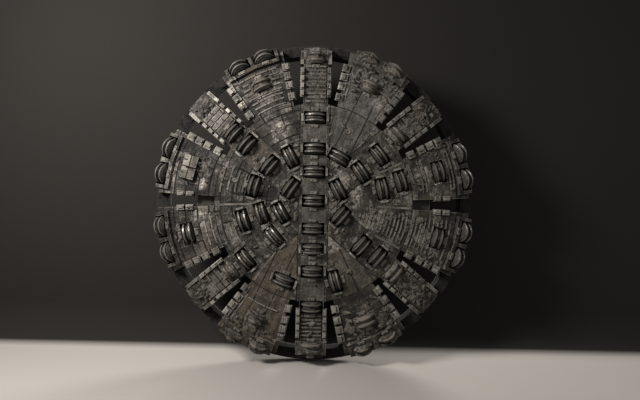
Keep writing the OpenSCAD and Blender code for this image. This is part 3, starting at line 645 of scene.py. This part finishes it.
# Clay on the running cutters. A collar of clay turns with each cutter in the groove between its rings,
# thick where it was packed last and nearly gone where the rock has pressed it out.
round_way = np.linspace(0, 2 * math.pi, 56, endpoint=False)
groove_floor = np.full(len(round_way), 0.149)
lay = np.array([-0.03, -0.026, -0.009, 0.01, 0.026, 0.03])
for number, joint in enumerate(frame["joints"]):
    centre, axis = np.array(joint["pos_m"]), np.array(joint["axis"])
    across = np.cross(axis, (0.31, 0.83, 0.47))
    across /= np.linalg.norm(across)
    spoke = across * np.cos(round_way)[:, None] + np.cross(axis, across) * np.sin(round_way)[:, None]
    crest = 0.176 + 0.010 * math.sin(number * 2.4) + 0.013 * rugged(centre + spoke * 0.19, 0.06, number)
    section = np.stack([groove_floor, crest - 0.014, crest - 0.002, crest - 0.003 * np.cos(round_way * 3),
                        crest - 0.012, groove_floor], 1)
    side = lay + 0.004 * np.sin(round_way * 5 + number)[:, None]
    collar = grid_mesh("clay_on_" + joint["child"],
                       centre + spoke[:, None] * section[..., None] + axis * side[..., None], (True, True))
    collar.data.materials.append(stiff_clay)
    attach(collar, joint["child"])


# Shaft locks. A wedge plate with two screws holds each end of a cutter's shaft in its saddle; on the
# leaning gauge cutters the outer one is cast into the housing. Where two would meet, one is left out.
def rounded(half_x, half_y, corner, steps=4):
    """Outline of a rectangle with round corners: a quarter circle, flipped into the other corners."""
    way = np.linspace(0, math.pi / 2, steps)
    quarter = corner * np.stack([np.cos(way), np.sin(way)], -1) + [half_x - corner, half_y - corner]
    flip = quarter[::-1]
    return np.concatenate([quarter, flip * [-1, 1], quarter * [-1, -1], flip * [1, -1]])


running, running_shafts = (np.array([joint[key] for joint in frame["joints"]]) for key in ("pos_m", "axis"))
running_faces = face_out - running_shafts * (running_shafts @ face_out)[:, None]
running_faces /= np.linalg.norm(running_faces, axis=1, keepdims=True)
centres, shafts, faces = np.concatenate([np.stack([running, running_shafts, running_faces], 1),
                                         clogged_frames]).transpose(1, 0, 2)
shafts = shafts * np.sign((centres * [1, 0, 1] * shafts).sum(1))[:, None]
leaning = np.abs(faces[:, 1]) < 0.99

lock_reach, lock_front, closest = 0.168, 0.074, 0.075
inner, outer = (np.stack([centres + shafts * sign * lock_reach + faces * lock_front, shafts, faces], 1)
                for sign in (-1, 1))
seats = np.concatenate([inner, outer[~leaning]])
apart = np.linalg.norm(seats[:, None, 0] - seats[None, :, 0], axis=2)
seats = seats[(apart + np.triu(np.full(apart.shape, 9.0))).min(1) > closest]
seats, lock_right, lock_out = seats.transpose(1, 0, 2)
locks = capped("shaft_lock_plates", seats, lock_right, lock_out, rounded(0.033, 0.075, 0.012),
               chamfered(0, 0.018, 0.022, 0.93))
screw_step = np.cross(lock_out, lock_right) * 0.045
screws = capped("shaft_lock_screws", np.concatenate([seats + screw_step, seats - screw_step]),
                np.tile(lock_right, (2, 1)), np.tile(lock_out, (2, 1)), circle(0.0165, 6),
                chamfered(0.02, 0.033, 0.036, 0.85))
lock_steel = weathered_steel("lock_steel", (0.21, 0.196, 0.172), (0.07, 0.064, 0.055), (0.11, 0.062, 0.035),
                             0.3, 0.25)
for piece in (locks, screws):
    piece.data.materials.append(lock_steel)
    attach(piece, "head")


# Scrapers. Hard blocks bolted along every edge that guards an opening, hammered and worn to bright
# corners, each a little different from the next.
def struck_steel(name, dark, mid, light, cuts=0.0):
    """Wear metal: a shade for each block by its place, dents, bright worn edges and clay by noise. Cuts
    of that share part the long beads into rods, each row of them shifted by its own chance."""
    f = Finish(name)
    r, turn = f.polar()
    block = f.chance((r * 6.2).floor(), (turn * 5.5).floor())
    blotch, grain = f.noise(f.place, 11, 4, 0.62), f.noise(f.place, 55, 4, 0.66)
    broad = f.noise(f.place, 2.1, 3)
    tone = blotch * 0.35 + grain * 0.25 + block * 0.3 + broad * 0.1
    color = f.mix(tone.rise(0.32, 0.52), dark, mid)
    color = f.mix(tone.rise(0.50, 0.72), color, light)
    edge = f.edges(0.02)
    color = f.mix(edge * grain.rise(0.3, 0.6) * 0.9, color, shade(light, 1.4))
    if cuts:
        row = (r * 12.8).floor()
        shift = turn * row * 0.3 + f.chance(row, 2.3) * 7
        cut = abs(shift - shift.floor() - 0.5).rise(0.5 - cuts, 0.5 - cuts * 0.6)
        color = f.mix(cut * 0.9, color, shade(dark, 0.3))
    caked = (blotch * 0.6 + broad * 0.15 + grain * 0.25).rise(0.56, 0.63) * (1 - edge)
    color = f.mix(caked * 0.85, color, f.mix(grain.rise(0.4, 0.6), wet_clay, shade(dry_clay, 0.8)))
    # Painted shade: darker where sunk behind the face and in hollows, by occlusion.
    color = f.mix(f.sunk() * (1 - edge) * 0.6, color, shade(dark, 0.6))
    color = f.mix(f.occlusion_shade(0.07) * (1 - edge * 0.5) * 0.8, color, (0.014, 0.0125, 0.0105))
    height = grain * 0.4 + blotch * 0.6
    return f.close(color, 0.4 + caked * 0.4 + grain * 0.25, (1 - caked) * 0.5, height, 0.012)


scraper_steel = struck_steel("scraper_steel", (0.04, 0.0365, 0.031), (0.145, 0.135, 0.118),
                             (0.35, 0.33, 0.295))
finish_node("edge_scrapers", scraper_steel)


# Deflector blocks. Short hard bars welded before and behind each cutter's mouth on the plates, which
# throw loose rock past the ring. They are cast from the scrapers' metal.
block_step = 0.256
on_plate = (np.hypot(centres[:, 0], centres[:, 2]) < 1.9) & ~leaning
ahead = np.cross(faces, shafts) * block_step
block_seats = np.concatenate([(centres + step + faces * lock_front)[on_plate] for step in (-ahead, ahead)])
blocks = capped("deflector_blocks", block_seats, np.tile(shafts[on_plate], (2, 1)),
                np.tile(faces[on_plate], (2, 1)), rounded(0.08, 0.02, 0.008),
                chamfered(0, 0.022, 0.03, 0.9))
blocks.data.materials.append(scraper_steel)
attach(blocks, "head")


# Wear bars and joint strips. Beads of hard weld metal laid by hand across the plates and along their
# joints, darker than the scrapers. The bars are laid in short rods, end to end.
for node, cuts in (("wear_bars", 0.06), ("joint_strips", 0.0)):
    finish_node(node, struck_steel(node + "_steel", (0.031, 0.028, 0.0235), (0.098, 0.089, 0.076),
                                   (0.25, 0.232, 0.2), cuts))


# Scraper inserts and screws. A hard metal block is brazed on each scraper's cutting edge and broken or
# worn by its own share; two screws behind it pull each plate scraper to its seat.
def tumbled(right, out, seed, amount):
    """Right and out directions turned a little about all three of their axes, each by its own chance."""
    chance = np.random.default_rng(seed).normal(0, amount, (len(right), 3))
    up = np.cross(out, right)
    right = right + up * chance[:, :1] + out * chance[:, 1:2]
    out = out + up * chance[:, 2:] - right * chance[:, 1:2]
    right = right / np.linalg.norm(right, axis=1, keepdims=True)
    out = out - right * (out * right).sum(1, keepdims=True)
    return right, out / np.linalg.norm(out, axis=1, keepdims=True)


level_edges = ((15, -1), (165, 1), (195, -1), (345, 1))
plate_scrapers = [(plate + side * plate_half_turn, r, side * 0.027, -side * 0.031)
                  for plate in plate_turns for side in (-1, 1)
                  if (plate, side) not in level_edges for r in (2.19, 2.42, 2.61, 2.79)]
level_scrapers = [(plate + side * plate_half_turn, r, side * 0.0, -side * 0.04)
                  for plate, side in level_edges for r in (2.50, 2.68)]
arm_scrapers = [(arm, r, side * 0.264, side * 0.264)
                for arm in arm_turns for side in (-1, 1) for r in (2.205, 2.355, 2.505, 2.655)]
for name, rows, half_r, half_across, rise, seed in (
        ("plate_scraper_inserts", plate_scrapers, 0.060, 0.036, 0.034, 4),
        ("level_scraper_inserts", level_scrapers, 0.060, 0.024, 0.028, 5),
        ("arm_scraper_inserts", arm_scrapers, 0.050, 0.032, 0.046, 6)):
    turns, reach, insert_across, screw_across = np.array(rows).T
    rays, outs = tumbled(at(turns, 1.0, 0, 0.0), np.tile(face_out, (len(rows), 1)), seed, 0.07)
    inserts = capped(name, at(turns, reach, insert_across, 1.578), rays, outs,
                     rounded(half_r, half_across, 0.012, 3), chamfered(-0.004, rise * 0.7, rise, 0.86))
    inserts.data.materials.append(scraper_steel)
    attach(inserts, "head")
    if rows is not arm_scrapers:
        places = np.concatenate([at(turns, reach + step, screw_across, 1.582) for step in (-0.04, 0.04)])
        caps = capped(name.replace("inserts", "screws"), places, (1, 0, 0), (0, -1, 0), circle(0.016, 10),
                      chamfered(-0.004, 0.006, 0.009, 0.8))
        caps.data.materials.append(bolt_steel)
        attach(caps, "head")


# Clay on the face. Stiff clay that the head's turning hasn't thrown off: thin smears on the plates, and
# lumps on the ends of the arms and round the clogged cutters.
face_edge, plates_edge, arm_half, plate_half = 3.12, 3.1, 0.2, 11.4
pocket_half_long, pocket_half_wide = 0.26, 0.165


def on_steel(turn, r):
    """True where a point of the face is on steel and clear of the cutters' pockets: inside the seam, or
    near the middle of an arm or a plate, and outside every pocket's rectangle."""
    arm_off = np.abs((turn[:, None] - arm_turns + 180) % 360 - 180)
    arm_across = np.where(arm_off < 40, r[:, None] * np.sin(np.radians(arm_off)), 9).min(1)
    plate_off = np.abs((turn[:, None] - plate_turns + 180) % 360 - 180).min(1)
    solid = (r < 1.95) | (arm_across < arm_half) | ((plate_off < plate_half) & (r < plates_edge))
    away = at(turn, r, 0, face_front)[:, None] - centres
    in_x = np.abs((away * shafts).sum(2)) < pocket_half_wide
    in_y = np.abs((away * np.cross(faces, shafts)).sum(2)) < pocket_half_long
    return solid & ~(in_x & in_y).any(1) & (r < face_edge)


def lumps(name, turn, r, wide, tall, seed, columns, grain, rows=7):
    """Flattened balls half sunk in the face: wide and tall their half sizes in metres, each stretched and
    turned by its own chance, and rugged noise of two fifths of the size moves every point in or out."""
    draw = np.random.default_rng(seed)
    bevel = np.maximum(r - bevel_start, 0) * bevel_fall
    base, yaw = at(turn, r, 0, face_front + 0.003 - bevel), draw.uniform(0, math.pi, (len(r), 1))
    long, cross = at(turn, 1.0, 0, 0.0), at(turn, 0.0, 1.0, 0.0)
    ray, side = long * np.cos(yaw) + cross * np.sin(yaw), cross * np.cos(yaw) - long * np.sin(yaw)
    tip, way = np.linspace(0, math.pi, rows), np.linspace(0, 2 * math.pi, columns, endpoint=False)
    wide_x = (wide * draw.uniform(0.9, 1.7, len(r)))[:, None, None]
    wide_y = (wide * draw.uniform(0.5, 0.95, len(r)))[:, None, None]
    x, y = np.sin(tip)[:, None] * np.cos(way) * wide_x, np.sin(tip)[:, None] * np.sin(way) * wide_y
    z = np.cos(tip)[:, None] * np.ones(columns) * tall[:, None, None]
    z = np.where(z < 0, z * 0.35, z)
    local = ray[:, None, None] * x[..., None] + side[:, None, None] * y[..., None] + face_out * z[..., None]
    where = base[:, None, None] + local
    rough = 1 + 0.46 * rugged(where, grain, seed) + 0.3 * lumpy(where, 0.11, seed + 5)
    rough[:, [0, -1]] = rough[:, [0, -1]].mean(2, keepdims=True)
    return grid_mesh(name, base[:, None, None] + local * rough[..., None], (False, True), smooth=False)


def strewn(zones, seed):
    """Turns and distances of places scattered over zones (turn, half turn, r, half r, count), steel only.
    Four fifths of those on the spine's lining and the brown plate are wiped off."""
    draw = np.random.default_rng(seed)
    turn = np.concatenate([t + dt * draw.normal(0, 0.5, n) for t, dt, r, dr, n in zones]) % 360
    reach = np.concatenate([r + dr * draw.normal(0, 0.5, n) for t, dt, r, dr, n in zones])
    off = np.abs(reach * np.cos(np.radians(turn)))
    swept = ((off < 0.3) & (reach < seam_r)) | (np.abs(turn - 245) < 10) & (reach < 2.7)
    keep = on_steel(turn, reach) & ~(swept & (draw.random(len(turn)) < 0.8))
    return turn[keep], reach[keep]


chance = np.random.default_rng(11)
clod_zones = [
    (40, 6, 2.85, 0.25, 70), (52, 8, 2.85, 0.25, 70), (65, 12, 2.95, 0.2, 40), (28, 6, 2.8, 0.3, 30),
    (320, 6, 2.75, 0.4, 70), (308, 7, 2.6, 0.5, 60), (295, 12, 2.9, 0.3, 45), (270, 6, 2.85, 0.3, 30),
    (245, 12, 2.9, 0.25, 50), (220, 6, 2.85, 0.3, 45), (140, 5, 2.9, 0.25, 30), (90, 5, 2.9, 0.25, 25),
    (330, 6, 2.7, 0.4, 25), (0, 180, 1.3, 1.4, 90), (0, 180, 2.6, 0.7, 110)]
turn, r = strewn(clod_zones, 21)
size = chance.uniform(0.014, 0.042, len(turn)) * chance.choice([1, 1, 1.6], len(turn))
clods = lumps("clay_lumps", turn, r, size, size * chance.uniform(0.5, 0.95, len(turn)), 31, 12, 0.03)
smear_zones = [
    (65, 14, 2.8, 0.4, 30), (40, 6, 2.6, 0.5, 40), (320, 8, 2.5, 0.6, 50), (295, 14, 2.8, 0.5, 35),
    (245, 14, 2.6, 0.7, 30), (165, 14, 2.4, 0.6, 24), (195, 14, 2.4, 0.6, 24), (15, 14, 2.3, 0.7, 24),
    (345, 14, 2.5, 0.7, 12), (0, 180, 1.2, 1.2, 70)]
turn, r = strewn(smear_zones, 22)
size = chance.uniform(0.03, 0.075, len(turn))
smears = lumps("clay_smears", turn, r, size, chance.uniform(0.005, 0.016, len(turn)), 41, 20, 0.026)
for piece in (clods, smears):
    piece.data.materials.append(stiff_clay)
    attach(piece, "head")


# Foam nozzles. A turned steel cap with a round hole, screwed into the plate where each foam pipe ends,
# lets the foam out at the face.
nozzle_seats = np.array([at(turn, reach, 0, face_front) for turn, reach in pipe_runs])
nozzles = capped("foam_nozzles", nozzle_seats, (1, 0, 0), (0, -1, 0), circle(0.05, 20),
                 [(0, -0.01), (1, -0.01), (1, 0.01), (0.86, 0.016), (0.4, 0.016), (0.34, 0.004),
                  (0, 0.004)])
nozzles.data.materials.append(bolt_steel)
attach(nozzles, "head")


# Studio. A pale floor sweeps up into a wall close behind the drive flange that is painted dark: painted
# shade, so that the spoil openings look into the dark; the head's shadow falls on it too. The wall is
# clear from behind, and a second floor carries on there. Neither throws light or shadow, so that light
# comes to the head from all sides.
floor_z, wall_y, sweep_r, stage_reach, wall_top = -3.31, 0.04, 0.9, 40, 24
arc = np.linspace(0, math.pi / 2, 17)
sweep = np.concatenate([
    [[-stage_reach, floor_z]],
    np.stack([wall_y - sweep_r + sweep_r * np.sin(arc), floor_z + sweep_r - sweep_r * np.cos(arc)], -1),
    [[wall_y, wall_top]],
])
wide = np.array([[stage_reach, -stage_reach]])
floor_and_wall = np.stack(np.broadcast_arrays(wide, sweep[:, :1], sweep[:, 1:]), -1)
floor_behind = np.stack(np.broadcast_arrays(wide, [[wall_y - sweep_r], [stage_reach]], floor_z - 0.001), -1)

plaster = Finish("pale_plaster")
# Pale floor, and above its edge the wall's dark colour, which is painted shade.
climb = plaster.node("ShaderNodeMapRange", {}, {"Value": plaster.parts(plaster.place)[2],
                                                "From Min": floor_z + 0.03, "From Max": floor_z + 0.12})
matt = plaster.node("ShaderNodeBsdfDiffuse", {}, {
    "Color": plaster.mix(climb, (0.33, 0.315, 0.29), (0.022, 0.0206, 0.0188))})
plaster.node("ShaderNodeOutputMaterial", {}, {"Surface": plaster.node("ShaderNodeMixShader", {}, {
    0: plaster.node("ShaderNodeNewGeometry", {}, {}, "Backfacing"), 1: matt,
    2: plaster.node("ShaderNodeBsdfTransparent", {}, {})})})
for name, points in (("floor_and_wall", floor_and_wall), ("floor_behind", floor_behind)):
    surface = grid_mesh(name, points, solid=False)
    surface.visible_diffuse = surface.visible_shadow = surface.visible_transmission = False
    surface.data.materials.append(plaster.material)

world = bpy.data.worlds.new("soft_daylight")
world.use_nodes = True
sky = world.node_tree.nodes["Background"].inputs
sky["Color"].default_value, sky["Strength"].default_value = (1.0, 0.985, 0.965, 1), 0.22
bpy.context.scene.world = world
head_middle = np.array([0, -0.9, 0.0])
for name, place, size, power in (("key", (-6.9, -6.6, 4.9), 2.6, 1600),
                                 ("right", (9.5, -6.5, 3.0), 3.0, 110),
                                 ("back", (5, 9, 6), 5, 1900)):
    lamp = bpy.data.lights.new(name, "AREA")
    lamp.size, lamp.energy, lamp.color = size, power, (1.0, 0.955, 0.925)
    holder = bpy.data.objects.new(name, lamp)
    holder.location = place
    x, y, z = head_middle - place
    holder.rotation_euler = (math.atan2(math.hypot(x, y), -z), 0, math.atan2(-x, y))
    bpy.context.scene.collection.objects.link(holder)


# Camera. It looks square on at the face from ten metres before it, as the photograph does, with a focal
# length of 493 pixels in a picture of 640, and is rolled by the degree that the head has stopped short.
picture_width, focal_length, sensor = 640, 493, 36
lens = bpy.data.cameras.new("camera")
lens.sensor_width, lens.lens = sensor, sensor * focal_length / picture_width
camera = bpy.data.objects.new("camera", lens)
camera.location = (0.131, -11.5, 0.061)
camera.rotation_euler = (math.pi / 2, math.radians(-1.16), 0)
bpy.context.scene.collection.objects.link(camera)
bpy.context.scene.camera = camera
bpy.context.scene.view_settings.view_transform = "Standard"
